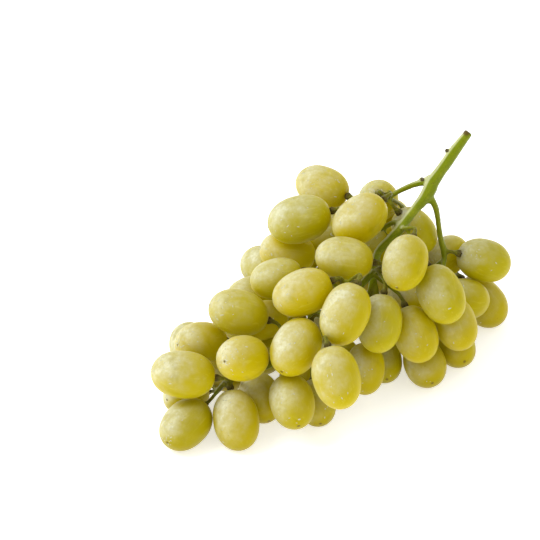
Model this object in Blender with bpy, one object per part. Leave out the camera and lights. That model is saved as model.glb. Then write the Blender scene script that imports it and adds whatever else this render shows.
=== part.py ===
"""A bunch of white table grapes, cut from the vine and lying on a table.

Frame: +Z up from the table at z = 0, +X along the bunch's width, -Y towards the viewer of its face,
origin at the middle of the bunch's footprint. Lengths are millimetres until they reach a mesh.

The bunch lies on its side. Its stalk climbs from the right shoulder, and inside the heap the rachis
runs down to the tip at the front left. The grapes form a shell round it with their stem ends turned
inwards. The grapes and branches on the face were measured in one view, from FACE_TILT above the
table; the grapes underneath and behind fill the rest of the shell, and their stems are led through
the space that the grapes leave.
"""

import heapq
import itertools
import math
from collections import namedtuple

import bmesh
import bpy
import numpy as np
from mathutils import Matrix, Vector

METRES_PER_MM = 0.001
FACE_TILT = math.radians(38)

# Grapes
SLENDERNESS = 1.36            # length over girth
FULLNESS = 2.25               # exponent of the outline: 2 is an ellipse, more is fuller
DIMPLE = 1.1                  # how far the stem end is drawn in
GRAPE_SIDES = 12
GRAPE_RINGS = (17, 38, 62, 88, 114, 140, 162)  # degrees from the stem end
TABLE_PRESS = 0.5             # how far a grape on the table is flattened
HIDDEN_GIRTH = 18.5

# Stems
PEDICEL_RADIUS = 0.85         # of a stem that bears one grape
BRANCHING = 0.38              # a stem that bears n grapes is n ** BRANCHING as thick
THICKEST_BRANCH = 1.9
THINNEST_STEM = 0.55
SEAT = 0.35                   # how deep the swollen end sits below the grape's tip
SWELLING = ((5.0, 0.85), (2.4, 1.15), (0.7, 2.15), (-SEAT, 2.05))  # mm off the grape's tip, radius
STEM_STEP = 6.0               # greatest distance between two rings of a stem
STEM_BOW = 0.15               # how far a stem may bow out between two rings
PEDICEL_SIDES = 5
BRANCH_SIDES = 6
RACHIS_SIDES = 8

# Clearances
SKIN_GAP = 0.45               # between two grapes
STALK_GAP = 0.5               # between a grape and a stem that passes it

# A grape on the face: middle across and up in the view, height of its middle over the table, the way
# its blossom end points in the view (degrees anticlockwise from the right), how far that end leans
# out of the view towards the viewer, and its girth.
FaceGrape = namedtuple("FaceGrape", "across up height turn lean girth")

LEFT_SHOULDER = (
    FaceGrape(-13.7, 48.6, 60, 195, 5, 21.0),
    FaceGrape(-3.2, 63.4, 54, 160, -25, 18.5),
    FaceGrape(-18.9, 34.8, 44, 170, 10, 18.5),
    FaceGrape(-23.9, 23.3, 50, 195, 5, 17.5),
    FaceGrape(-4.0, 40.0, 40, 200, 30, 18.0),
    FaceGrape(-34.8, 15.0, 28, 200, 30, 18.5),
)
CROWN = (
    FaceGrape(12.5, 49.3, 64, 220, 15, 20.0),
    FaceGrape(5.9, 31.9, 62, 172, 5, 19.1),
    FaceGrape(32.5, 29.9, 58, 252, 30, 19.7),
    FaceGrape(20.6, 57.2, 52, 270, -75, 17.8),
    FaceGrape(25.1, 50.0, 39, 185, -60, 17.5),
    FaceGrape(21.0, 38.3, 42, 200, 30, 17.5),
    FaceGrape(-12.1, 16.4, 56, 202, 5, 20.2),
)
RIGHT_SHOULDER = (
    FaceGrape(36.4, 44.0, 46, 311, -30, 17.8),
    FaceGrape(47.5, 16.0, 45, 295, 5, 20.2),
    FaceGrape(67.2, 30.9, 33, 345, -30, 18.9),
    FaceGrape(66.2, 12.9, 11, 312, 5, 19.2),
    FaceGrape(51.5, 32.6, 26, 40, -40, 16.8),
    FaceGrape(54.6, 3.6, 27, 290, 10, 18.5),
    FaceGrape(54.0, -6.8, 10, 300, 45, 17.0),
)
FRONT = (
    FaceGrape(5.6, 7.6, 54, 248, 5, 21.0),
    FaceGrape(21.3, 3.5, 41, 262, 5, 19.4),
    FaceGrape(37.2, -1.0, 31, 290, 5, 19.2),
    FaceGrape(33.9, 14.5, 30, 290, 40, 17.0),
    FaceGrape(40.2, -12.8, 10, 290, 40, 18.5),
    FaceGrape(24.4, -12.7, 10, 280, 40, 16.4),
    FaceGrape(14.9, -16.4, 18, 268, 5, 17.2),
    FaceGrape(2.3, -20.0, 36, 285, 5, 21.0),
    FaceGrape(-15.9, -6.8, 38, 240, 30, 21.0),
    FaceGrape(-17.2, -30.7, 20, 285, 35, 19.7),
    FaceGrape(-6.6, -31.0, 10, 280, 35, 16.8),
    FaceGrape(-15.0, -18.0, 12, 260, 30, 16.0),
    FaceGrape(-29.5, 4.8, 30, 200, 30, 17.0),
)
TIP = (
    FaceGrape(-40.6, 8.2, 42, 165, 15, 20.0),
    FaceGrape(-38.7, -11.9, 36, 190, 55, 20.2),
    FaceGrape(-57.0, -5.1, 28, 185, 35, 18.5),
    FaceGrape(-64.8, -18.9, 31, 174, 5, 21.0),
    FaceGrape(-63.0, -40.0, 11, 225, 35, 20.3),
    FaceGrape(-42.6, -38.5, 13, 280, 5, 20.2),
    FaceGrape(-31.2, -29.0, 10, 290, 25, 18.0),
    FaceGrape(-63.0, -28.4, 11, 190, 40, 16.5),
)

# Grapes that the face hides: where their middles lie on the plan, and their height.
HIDDEN = (
    (-50, -38, 11), (-42, -19, 12), (-22, 2, 12), (0, 20, 12), (22, 24, 12), (45, 14, 12),
    (-30, 4, 30), (-14, 24, 32), (8, 36, 32), (30, 30, 28), (-5, -20, 11), (-33, -38, 11),
    (18, -6, 11), (38, -10, 12), (52, -2, 25), (9, -32, 12), (-52, -52, 11), (28, 4, 26),
)

# Stems that show, from the root outwards: across and up in the view, height, radius. Other stems
# spring from them at bears_from and after it.
Node = namedtuple("Node", "across up height radius")
Branch = namedtuple("Branch", "bears_from nodes")

RACHIS = Branch(9, (
    Node(60.4, 87.3, 98, 1.85), Node(54.4, 79.4, 91, 2.5), Node(51.3, 74.8, 86.5, 2.6),
    Node(48.0, 70.2, 82, 2.6), Node(44.9, 65.8, 77.5, 3.0), Node(43.1, 61.8, 74, 3.15),
    Node(40.9, 58.3, 71, 2.7), Node(37.2, 53.9, 67.5, 2.15), Node(33.4, 49.1, 64, 2.05),
    Node(30.4, 45.1, 61, 2.3), Node(26.0, 40.5, 56.5, 1.95), Node(20.5, 34.5, 51, 1.8),
    Node(17.6, 25.5, 46.5, 1.6), Node(8.4, 15.0, 42, 1.6), Node(-5.7, -1.8, 35, 1.5),
    Node(-22.4, -12.8, 29, 1.3), Node(-37.8, -18.9, 25.5, 1.1), Node(-46.2, -22.0, 24, 0.9),
))
LEFT_BRANCH = Branch(5, (
    Node(44.0, 66.8, 77.8, 2.3), Node(41.2, 65.7, 75.0, 1.8), Node(37.0, 64.6, 72.5, 1.35),
    Node(32.6, 62.8, 70, 1.2), Node(28.2, 60.6, 67.5, 1.15), Node(25.1, 58.5, 65, 1.2),
    Node(23.1, 57.0, 63, 1.1),
))
RIGHT_BRANCH = Branch(5, (
    Node(42.8, 60.0, 72.5, 1.8), Node(45.7, 55.0, 67, 1.4), Node(46.8, 50.6, 61.5, 1.25),
    Node(47.5, 45.3, 55, 1.2), Node(48.4, 40.0, 48, 1.35), Node(49.8, 35.2, 42, 1.45),
    Node(49.9, 31.2, 38, 1.1),
))
INNER_BRANCH = Branch(2, (
    Node(31.5, 47.0, 62.4, 1.35), Node(27.7, 47.7, 61, 1.15), Node(25.1, 46.6, 59, 1.05),
    Node(22.9, 44.9, 57, 0.9),
))
SHOWN_STEMS = (RACHIS, LEFT_BRANCH, RIGHT_BRANCH, INNER_BRANCH)

# Stubs that bear nothing: a pedicel whose grape has come off, a thorn and a bud scar.
STUBS = (
    (Node(23.3, 57.6, 63.4, 0.9), Node(24.6, 60.0, 64.6, 0.75), Node(26.3, 61.5, 66.3, 1.05)),
    (Node(23.3, 45.3, 57.4, 0.8), Node(23.7, 44.0, 57.4, 0.6), Node(24.0, 43.0, 57.4, 0.3)),
    (Node(39.8, 65.2, 74.1, 1.5), Node(39.8, 66.5, 74.1, 1.35), Node(39.8, 67.0, 74.1, 1.1)),
    (Node(52.2, 78.0, 89.5, 1.4), Node(51.0, 79.2, 89.9, 1.2), Node(50.5, 79.7, 90.1, 0.8)),
)

BODY_PROBES = (-0.52, -0.28, 0.0, 0.28, 0.52)   # shares of the half length
STEM_PROBES = ((1.0, 2.6), (4.5, 1.5))          # mm off the stem end, radius

# How the grapes settle
ON_TABLE_BELOW = 16.0         # a grape whose middle is read lower than this lies on the table
HIDDEN_SPREAD = 0.35          # how unevenly the hidden grapes turn outwards
HIDDEN_EASE = 5.0             # how much more readily a hidden grape gives way
FACE_HOLD = 0.25              # how firmly a grape on the face keeps its place in the view
HIDDEN_HOLD = 0.02
DEPTH_HOLD = 0.01             # how firmly any grape keeps its depth
PUSH = 0.7                    # share of an overlap that is cleared in a step
STALK_PUSH = 0.5
TABLE_GAP = 0.4               # under a grape that doesn't lie on the table
RELAX_STEPS = 420
FREE_STEPS = 180              # steps at the end in which nothing holds a grape back
SEED = 7

# How stems are led through the room between the grapes
GRID = 1.5
GRID_MARGIN = 16.0
ROOM_REACH = 6.0              # any room wider than this is as good
ROOM_NEEDED = 1.2
TIGHTNESS = 1.2               # how much dearer a way is that passes near a grape
SIDE_COST = 0.35              # of a way along another stem, over one through free room
BARE_END = 8.5                # the last stretch of a pedicel, which bears no other
TAUT_STEPS = 60
TAUT_SHARE = 0.5
BEND_STEPS = 200
BEND_SHARE = 0.6
PATH_STEP = 1.0


def from_view(across, up, height):
    """A point of the view, at its height over the table, in the bunch's frame."""
    sine, cosine = math.sin(FACE_TILT), math.cos(FACE_TILT)
    return np.array((across, up / sine - height * cosine / sine, height))


def view_axes():
    """Right, up and towards the viewer, in the view of the face."""
    sine, cosine = math.sin(FACE_TILT), math.cos(FACE_TILT)
    return np.array(((1, 0, 0), (0, sine, cosine), (0, -cosine, sine)), float)


def outline(share):
    """A grape's radius over its greatest, at a share of its half length from the middle."""
    return math.sqrt(max(0.0, 1 - abs(share) ** FULLNESS))


def probe_sizes():
    """The largest spheres round points of the long axis that stay in a grape of half girth 1."""
    shares = np.cos(np.linspace(0, math.pi, 400))
    radii = np.array([outline(s) for s in shares])
    sizes = []
    for probe in BODY_PROBES:
        sizes.append(np.hypot((shares - probe) * SLENDERNESS, radii).min())
    return np.array(sizes)


def smooth_curve(points, per_span):
    """A Catmull-Rom curve through the points, with per_span steps to a span."""
    points = np.asarray(points, float)
    padded = np.vstack((2 * points[0] - points[1], points, 2 * points[-1] - points[-2]))
    found = []
    for k in range(len(points) - 1):
        before, start, end, after = padded[k:k + 4]
        for t in np.arange(per_span) / per_span:
            found.append(0.5 * (
                2 * start + (end - before) * t
                + (2 * before - 5 * start + 4 * end - after) * t ** 2
                + (3 * start - before - 3 * end + after) * t ** 3))
    found.append(points[-1])
    return np.array(found)


class Stem:
    """One stem from root to end: its points and radii, and where it springs from another stem."""

    def __init__(self, points, radii, parent=None, parent_at=0, grape=None, bears_from=0, depth=0.0):
        self.points = points
        self.radii = radii
        self.parent = parent
        self.parent_at = parent_at
        self.grape = grape
        self.bears_from = bears_from
        self.depth = depth
        self.load = np.zeros(len(points))


def shown_stem(branch):
    per_span = 3
    rows = smooth_curve([(*from_view(n.across, n.up, n.height), n.radius) for n in branch.nodes], per_span)
    return Stem(rows[:, :3], rows[:, 3], bears_from=branch.bears_from * per_span)


class Heap:
    """The grapes as they lie: middles, axes from stem end to blossom end, and sizes."""

    def __init__(self, stems):
        self.stem_points = np.vstack([s.points for s in stems])
        self.stem_radii = np.hstack([s.radii for s in stems])
        axes = view_axes()
        face = LEFT_SHOULDER + CROWN + RIGHT_SHOULDER + FRONT + TIP
        self.middles = np.array(
            [from_view(g.across, g.up, g.height) for g in face] + [np.array(h, float) for h in HIDDEN])
        self.half_girths = np.array([g.girth for g in face] + [HIDDEN_GIRTH] * len(HIDDEN)) / 2
        self.half_lengths = self.half_girths * SLENDERNESS
        self.on_face = np.arange(len(self.middles)) < len(face)
        directions = []
        for g in face:
            turn, lean = math.radians(g.turn), math.radians(g.lean)
            in_view = (math.cos(turn) * math.cos(lean), math.sin(turn) * math.cos(lean), math.sin(lean))
            directions.append(in_view @ axes)
        draw = np.random.default_rng(SEED)
        for middle in self.middles[len(face):]:
            directions.append(self.outward(stems[0].points, middle) + draw.uniform(-HIDDEN_SPREAD, HIDDEN_SPREAD, 3))
        self.axes = np.array([d / np.linalg.norm(d) for d in directions])
        self.on_table = self.middles[:, 2] < ON_TABLE_BELOW
        self.probe_radii = probe_sizes()
        mobility = np.where(self.on_face, 1.0, HIDDEN_EASE)
        self.share = mobility[:, None] / (mobility[:, None] + mobility[None, :])
        self.settle()

    def outward(self, rachis, middle):
        """From the nearest point of the rachis to a hidden grape, flattened as a lying grape is."""
        nearest = rachis[np.argmin(np.linalg.norm(rachis - middle, axis=1))]
        away = middle - nearest
        away[2] *= 0.5
        return away / np.linalg.norm(away)

    def lowest(self):
        """How far each grape reaches below its middle."""
        shares = np.cos(np.linspace(0, math.pi, 200))
        radii = np.array([outline(s) for s in shares])
        rise = np.abs(self.axes[:, 2])
        across = np.sqrt(1 - rise ** 2)
        along = rise[:, None] * shares[None, :] * self.half_lengths[:, None]
        return (along + across[:, None] * radii[None, :] * self.half_girths[:, None]).max(axis=1)

    def bodies(self, middles):
        """Spheres that fill each grape, as middles and radii."""
        offsets = np.array(BODY_PROBES)[None, :] * self.half_lengths[:, None]
        points = middles[:, None, :] + self.axes[:, None, :] * offsets[:, :, None]
        return points, self.probe_radii[None, :] * self.half_girths[:, None]

    def pedicels(self, middles):
        """Spheres that keep room for the stem at each grape's end."""
        offsets = np.array([p[0] for p in STEM_PROBES])[None, :] + self.half_lengths[:, None]
        points = middles[:, None, :] - self.axes[:, None, :] * offsets[:, :, None]
        return points, np.tile([p[1] for p in STEM_PROBES], (len(middles), 1))

    def push_apart(self, middles):
        """How far each grape is to move so that none presses another or a stem that shows."""
        points, radii = self.bodies(middles)
        ends, end_radii = self.pedicels(middles)
        bodies = radii.shape[1]
        all_points = np.concatenate((points, ends), axis=1)
        all_radii = np.concatenate((radii, end_radii), axis=1)
        count, probes = all_radii.shape
        apart = all_points[:, None, :, None, :] - all_points[None, :, None, :, :]
        distance = np.sqrt((apart ** 2).sum(axis=4)) + 1e-9
        depth = all_radii[:, None, :, None] + all_radii[None, :, None, :] + SKIN_GAP - distance
        depth[:, :, bodies:, bodies:] = -1
        way = (apart / distance[..., None]).reshape(count, count, probes * probes, 3)
        depth = depth.reshape(count, count, probes * probes)
        deepest = depth.argmax(axis=2)
        amount = np.take_along_axis(depth, deepest[:, :, None], 2)[:, :, 0]
        way = np.take_along_axis(way, deepest[:, :, None, None], 2)[:, :, 0]
        amount[np.arange(count), np.arange(count)] = 0
        amount = np.clip(amount, 0, None)
        moves = (way * (amount * self.share)[:, :, None]).sum(axis=1) * PUSH
        from_stem = points[:, :, None, :] - self.stem_points[None, None, :, :]
        gap = np.sqrt((from_stem ** 2).sum(axis=3)) + 1e-9
        press = radii[:, :, None] + self.stem_radii[None, None, :] + STALK_GAP - gap
        for k in range(count):
            at = np.unravel_index(press[k].argmax(), press[k].shape)
            if press[k][at] > 0:
                moves[k] += from_stem[k][at] / gap[k][at] * press[k][at] * STALK_PUSH
        return moves

    def settle(self):
        """Moves the grapes until none overlaps: those on the face mostly along the line of sight."""
        near = view_axes()[2]
        wanted = self.middles.copy()
        hold = np.where(self.on_face, FACE_HOLD, HIDDEN_HOLD)[:, None]
        reach = self.lowest()
        for step in range(RELAX_STEPS + FREE_STEPS):
            moves = self.push_apart(self.middles)
            ease = max(0.0, 1 - step / RELAX_STEPS)
            back = wanted - self.middles
            deep = (back @ near)[:, None] * near
            self.middles += moves + ease * (hold * (back - deep) + DEPTH_HOLD * deep)
            self.middles[:, 2] = np.where(
                self.on_table, reach - TABLE_PRESS, np.maximum(self.middles[:, 2], reach + TABLE_GAP))


class Space:
    """The room that the grapes leave, on a grid, through which stems are led."""

    def __init__(self, heap, rachis):
        points, radii = heap.bodies(heap.middles)
        self.spheres = points.reshape(-1, 3)
        self.sizes = radii.reshape(-1)
        self.low = self.spheres.min(axis=0) - GRID_MARGIN
        counts = np.ceil((self.spheres.max(axis=0) + GRID_MARGIN - self.low) / GRID).astype(int)
        axes = [self.low[k] + GRID * np.arange(counts[k]) for k in range(3)]
        grid = np.stack(np.meshgrid(*axes, indexing="ij"), axis=3)
        self.room = np.minimum(ROOM_REACH, grid[..., 2])
        for sphere, size in zip(self.spheres, self.sizes):
            start = np.maximum(0, np.floor((sphere - size - ROOM_REACH - self.low) / GRID)).astype(int)
            stop = np.ceil((sphere + size + ROOM_REACH - self.low) / GRID).astype(int) + 1
            box = tuple(slice(a, b) for a, b in zip(start, stop))
            distance = np.linalg.norm(grid[box] - sphere, axis=3) - size
            self.room[box] = np.minimum(self.room[box], distance)
        for axis in range(3):
            edge = np.moveaxis(self.room, axis, 0)
            edge[0] = edge[-1] = 0
        self.rachis = rachis
        self.grid = grid
        self.targets = {}
        around = [way for way in itertools.product((-1, 0, 1), repeat=3) if any(way)]
        self.steps = [(way, GRID * math.hypot(*way)) for way in around]

    def cell(self, point):
        return tuple(np.rint((point - self.low) / GRID).astype(int))

    def clearance(self, points):
        """How far points are from the nearest grape."""
        return (np.linalg.norm(points[:, None, :] - self.spheres, axis=2) - self.sizes).min(axis=1)

    def add(self, stem):
        """Lets later stems spring from this one."""
        lengths = np.linalg.norm(np.diff(stem.points, axis=0), axis=1)
        along = np.hstack((0, np.cumsum(lengths)))
        last = len(stem.points) if stem.grape is None else np.searchsorted(along, along[-1] - BARE_END)
        for k in range(stem.bears_from, last):
            cost = stem.depth + (0 if stem is self.rachis else SIDE_COST * along[k])
            middle = self.cell(stem.points[k])
            nearby = [middle] + [moved(middle, way) for way, length in self.steps if length == GRID]
            for cell in nearby:
                if cell not in self.targets or self.targets[cell][0] > cost:
                    self.targets[cell] = (cost, stem, k)

    def route(self, start):
        """The cheapest way from a grape's stem to a stem that already stands."""
        first = self.cell(start)
        costs, before = {first: 0.0}, {}
        queue = [(0.0, first)]
        best, found = math.inf, None
        done = set()
        while queue:
            cost, cell = heapq.heappop(queue)
            if cost > best:
                break
            if cell in done:
                continue
            done.add(cell)
            if cell in self.targets and cost + self.targets[cell][0] < best:
                best, found = cost + self.targets[cell][0], cell
            for way, length in self.steps:
                near = moved(cell, way)
                room = self.room[near]
                if room < ROOM_NEEDED:
                    continue
                price = cost + length * (1 + TIGHTNESS / room)
                if price < costs.get(near, math.inf):
                    costs[near] = price
                    before[near] = cell
                    heapq.heappush(queue, (price, near))
        if found is None:
            raise ValueError("no stem can be led from here")
        path = [found]
        while path[-1] in before:
            path.append(before[path[-1]])
        _, stem, at = self.targets[found]
        return np.array([self.grid[c] for c in path]), stem, at

    def clear_of_grapes(self, inner):
        """Moves points off the grapes until a pedicel passes them with room to spare."""
        away = inner[:, None, :] - self.spheres
        gaps = np.linalg.norm(away, axis=2)
        room = gaps - self.sizes
        nearest = room.argmin(axis=1)
        rows = np.arange(len(inner))
        short = np.clip(PEDICEL_RADIUS + STALK_GAP - room[rows, nearest], 0, None)
        inner += away[rows, nearest] / gaps[rows, nearest][:, None] * short[:, None]

    def eased(self, path, axis):
        """A routed path drawn taut, then bent gently into its end, which lies along a grape's axis."""
        for _ in range(TAUT_STEPS):
            inner = path[1:-1]
            inner += TAUT_SHARE * (0.5 * (path[:-2] + path[2:]) - inner)
            self.clear_of_grapes(inner)
        along = np.linspace(0, 1, 4)[1:, None] * (SWELLING[0][0] - SWELLING[1][0])
        path = evenly_spaced(np.vstack((path, path[-1] + axis * along)), PATH_STEP)
        for _ in range(BEND_STEPS):
            inner = path[2:-2]
            if not len(inner):
                break
            bent = (4 * (path[1:-3] + path[3:-1]) - path[:-4] - path[4:]) / 6
            inner += BEND_SHARE * (bent - inner)
            path[1] = (path[0] + path[2]) / 2
            self.clear_of_grapes(path[1:-4])
        return thinned(path)


def moved(cell, way):
    """The cell that lies a step further on the grid."""
    return (cell[0] + way[0], cell[1] + way[1], cell[2] + way[2])


def evenly_spaced(points, step):
    """The same line through points that lie about a step apart."""
    lengths = np.linalg.norm(np.diff(points, axis=0), axis=1)
    along = np.hstack((0, np.cumsum(lengths)))
    at = np.linspace(0, along[-1], max(5, int(round(along[-1] / step)) + 1))
    return np.stack([np.interp(at, along, points[:, k]) for k in range(3)], axis=1)


def thinned(points):
    """Leaves out the points of a line that it hardly bows at."""
    kept = [0]
    while kept[-1] < len(points) - 1:
        start = kept[-1]
        stop = start + 1
        for k in range(start + 2, len(points)):
            chord = points[k] - points[start]
            span = np.linalg.norm(chord)
            bows = np.linalg.norm(np.cross(points[start + 1:k] - points[start], chord), axis=1) / span
            if span > STEM_STEP or bows.max() > STEM_BOW:
                break
            stop = k
        kept.append(stop)
    return points[kept]


def lead_stems(heap, shown):
    """All stems: those that show, and one to each grape, led nearest first."""
    space = Space(heap, shown[0])
    for stem in shown:
        space.add(stem)
    stubs = heap.middles - heap.axes * (heap.half_lengths + SWELLING[0][0])[:, None]
    bearing = np.vstack([s.points[s.bears_from:] for s in shown])
    reach = np.linalg.norm(stubs[:, None, :] - bearing, axis=2).min(axis=1)
    stems = list(shown)
    for grape in np.argsort(reach):
        path, parent, at = space.route(stubs[grape])
        axis = heap.axes[grape]
        path = space.eased(np.vstack((parent.points[at], path[1:-1], stubs[grape])), axis)
        ends = [heap.middles[grape] - axis * (heap.half_lengths[grape] + off) for off, _ in SWELLING[2:]]
        along = np.linalg.norm(np.diff(parent.points[:at + 1], axis=0), axis=1).sum()
        depth = parent.depth + (0 if parent is space.rachis else SIDE_COST * along)
        stem = Stem(np.vstack((path, ends)), None, parent, at, int(grape), 1, depth)
        space.add(stem)
        stems.append(stem)
    return stems, space


def carry_loads(stems):
    """Counts the grapes that every part of every stem bears."""
    for stem in stems:
        if stem.grape is None:
            continue
        at = len(stem.points) - 1
        while stem is not None:
            stem.load[:at + 1] += 1
            stem, at = stem.parent, stem.parent_at


def set_radii(stems, space):
    """Sizes the led stems by what they bear, thinner where the grapes leave less room."""
    swelling = np.array([radius for _, radius in SWELLING[2:]])
    for stem in stems:
        if stem.radii is not None:
            continue
        led = stem.points[:-len(swelling)]
        radii = np.minimum(THICKEST_BRANCH, PEDICEL_RADIUS * stem.load[:len(led)] ** BRANCHING)
        middles = (led[:-1] + led[1:]) / 2
        room = space.clearance(led)
        between = space.clearance(middles)
        room[:-1] = np.minimum(room[:-1], between)
        room[1:] = np.minimum(room[1:], between)
        radii[-1] = SWELLING[1][1]
        room[-1] = SWELLING[1][1] + STALK_GAP
        radii = np.clip(radii, THINNEST_STEM, np.maximum(room - STALK_GAP + 0.1, THINNEST_STEM))
        stem.radii = np.hstack((radii, swelling))


def finished(name, shape):
    """A named object from a mesh, shaded smooth."""
    bmesh.ops.recalc_face_normals(shape, faces=shape.faces)
    mesh = bpy.data.meshes.new(name)
    shape.to_mesh(mesh)
    shape.free()
    mesh.shade_smooth()
    item = bpy.data.objects.new(name, mesh)
    bpy.context.scene.collection.objects.link(item)
    return item


def tube(name, points, radii, sides):
    """A closed round stem along a line of points: a ring, extruded from point to point."""
    tangents = np.gradient(points, axis=0)
    normal = Vector(tangents[0]).orthogonal()
    places = []
    for point, radius, tangent in zip(points, radii, tangents):
        along = Vector(tangent).normalized()
        normal = (normal - along * normal.dot(along)).normalized()
        turn = Matrix((normal, along.cross(normal), along)).transposed().to_4x4()
        size = Matrix.Diagonal((radius * METRES_PER_MM,) * 3).to_4x4()
        places.append(Matrix.Translation(Vector(point) * METRES_PER_MM) @ turn @ size)
    shape = bmesh.new()
    bmesh.ops.create_circle(shape, segments=sides, radius=1, matrix=places[0])
    ring = shape.edges[:]
    for before, after in zip(places, places[1:]):
        grown = bmesh.ops.extrude_edge_only(shape, edges=ring)["geom"]
        verts = [g for g in grown if isinstance(g, bmesh.types.BMVert)]
        bmesh.ops.transform(shape, matrix=after @ before.inverted(), verts=verts)
        ring = [g for g in grown if isinstance(g, bmesh.types.BMEdge)]
    bmesh.ops.holes_fill(shape, edges=shape.edges[:], sides=sides)
    return finished(name, shape)


def grape(name, middle, axis, half_length, half_girth, on_table):
    """One grape: round about its own Z, drawn in at the stem end, flat where it lies on the table."""
    shape = bmesh.new()
    rings = len(GRAPE_RINGS) + 1
    bmesh.ops.create_uvsphere(shape, u_segments=GRAPE_SIDES, v_segments=rings, radius=1)
    degrees = (0, *GRAPE_RINGS, 180)
    for vert in shape.verts:
        ring = round(math.acos(max(-1.0, min(1.0, -vert.co.z))) / math.pi * rings)
        share = -math.cos(math.radians(degrees[ring]))
        across = Vector((vert.co.x, vert.co.y, 0))
        radius = half_girth * outline(share)
        vert.co = (across.normalized() * radius if 0 < ring < rings else Vector())
        vert.co.z = share * half_length + (DIMPLE if ring == 0 else 0)
    bmesh.ops.scale(shape, vec=(METRES_PER_MM,) * 3, verts=shape.verts)

    # A row of corners points straight down, so that every grape on the table gets a flat.
    lean = Vector((0, 0, 1)).rotation_difference(Vector(axis)).to_matrix()
    down = lean.inverted() @ Vector((0, 0, -1))
    turn = lean @ Matrix.Rotation(math.atan2(down.y, down.x), 3, "Z")
    place = Matrix.Translation(Vector(middle) * METRES_PER_MM) @ turn.to_4x4()
    if on_table:
        cut = bmesh.ops.bisect_plane(
            shape, geom=shape.verts[:] + shape.edges[:] + shape.faces[:], dist=1e-8,
            plane_co=place.inverted().translation, plane_no=turn.inverted() @ Vector((0, 0, -1)),
            clear_outer=True)
        edges = [g for g in cut["geom_cut"] if isinstance(g, bmesh.types.BMEdge)]
        bmesh.ops.contextual_create(shape, geom=edges)
    item = finished(name, shape)
    item.location = place.translation
    item.rotation_euler = turn.to_euler()
    return item


def material(name, colour, roughness):
    made = bpy.data.materials.new(name)
    made.use_nodes = True
    shader = made.node_tree.nodes["Principled BSDF"]
    shader.inputs["Base Color"].default_value = (*colour, 1)
    shader.inputs["Roughness"].default_value = roughness
    shader.inputs["Metallic"].default_value = 0
    return made


def fuse(whole, pieces):
    """Joins the pieces to the whole by one union."""
    group = bpy.data.collections.new("stems_to_join")
    for piece in pieces:
        bpy.context.scene.collection.objects.unlink(piece)
        group.objects.link(piece)
    bpy.context.scene.collection.children.link(group)
    union = whole.modifiers.new("join", "BOOLEAN")
    union.operation = "UNION"
    union.operand_type = "COLLECTION"
    union.collection = group
    bpy.context.view_layer.objects.active = whole
    bpy.ops.object.modifier_apply(modifier=union.name)
    for piece in pieces:
        bpy.data.objects.remove(piece)
    bpy.data.collections.remove(group)
    fill_pockets(whole.data)


def fill_pockets(mesh):
    """Takes away small pockets that joined stems close in, and slivers that hang on by an edge."""
    shape = bmesh.new()
    shape.from_mesh(mesh)
    shells = []
    left = set(shape.faces)
    while left:
        front, shell = [left.pop()], []
        while front:
            face = front.pop()
            shell.append(face)
            sound = [edge for edge in face.edges if len(edge.link_faces) == 2]
            near = {other for edge in sound for other in edge.link_faces} & left
            left -= near
            front.extend(near)
        shells.append(shell)
    for shell in sorted(shells, key=len)[:-1]:
        bmesh.ops.delete(shape, geom=shell, context="FACES")
    shape.to_mesh(mesh)
    shape.free()


def build():
    for item in list(bpy.data.objects):
        bpy.data.objects.remove(item)

    shown = [shown_stem(branch) for branch in SHOWN_STEMS]
    heap = Heap(shown)
    stems, space = lead_stems(heap, shown)
    carry_loads(stems)
    set_radii(stems, space)

    stalk = tube("stem", shown[0].points, shown[0].radii, RACHIS_SIDES)
    pieces = [tube("branch", s.points, s.radii, BRANCH_SIDES) for s in shown[1:]]
    pieces += [tube("pedicel", s.points, s.radii, PEDICEL_SIDES) for s in stems[len(shown):]]
    for nodes in STUBS:
        points = np.array([from_view(n.across, n.up, n.height) for n in nodes])
        pieces.append(tube("stub", points, [n.radius for n in nodes], PEDICEL_SIDES))
    fuse(stalk, pieces)
    stalk.data.materials.append(material("stem_green", (0.30, 0.33, 0.05), 0.5))

    items = [stalk]
    for k, middle in enumerate(heap.middles):
        item = grape(
            f"grape_{k + 1:02d}", middle, heap.axes[k], heap.half_lengths[k], heap.half_girths[k],
            heap.on_table[k])
        item.data.materials.append(material(f"{item.name}_skin", (0.62, 0.58, 0.15), 0.3))
        items.append(item)

    bpy.context.view_layer.update()
    corners = np.array([(item.matrix_world @ v.co)[:] for item in items for v in item.data.vertices])
    middle = (corners.min(axis=0) + corners.max(axis=0)) / 2
    for item in items:
        item.location -= Vector((middle[0], middle[1], 0))


build()
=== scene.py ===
# A bunch of white grapes as picked, lying on its side: plump oval berries under a pale waxy
# bloom, a smooth green stalk with brown swollen ends, and fine drops of dew.

import math
import random

import bmesh
import bpy
import numpy as np
from mathutils import Matrix, Vector, noise
from mathutils.bvhtree import BVHTree
from mathutils.kdtree import KDTree


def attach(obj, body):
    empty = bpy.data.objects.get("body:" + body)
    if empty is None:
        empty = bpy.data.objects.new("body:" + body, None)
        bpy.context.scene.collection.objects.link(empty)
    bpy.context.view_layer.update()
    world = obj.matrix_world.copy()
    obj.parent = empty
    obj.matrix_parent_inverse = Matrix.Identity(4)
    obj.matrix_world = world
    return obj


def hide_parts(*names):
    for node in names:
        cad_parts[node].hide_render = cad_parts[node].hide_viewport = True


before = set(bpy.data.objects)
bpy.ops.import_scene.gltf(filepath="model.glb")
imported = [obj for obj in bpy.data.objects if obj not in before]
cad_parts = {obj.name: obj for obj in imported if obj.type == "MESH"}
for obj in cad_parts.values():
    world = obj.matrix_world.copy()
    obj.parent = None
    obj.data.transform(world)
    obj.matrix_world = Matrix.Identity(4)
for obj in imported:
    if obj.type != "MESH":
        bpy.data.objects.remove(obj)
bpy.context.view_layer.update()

MM = 0.001
SAME_POINT = 0.001 * MM
NEAR_ZERO = 1e-6
SEED = 11

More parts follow.
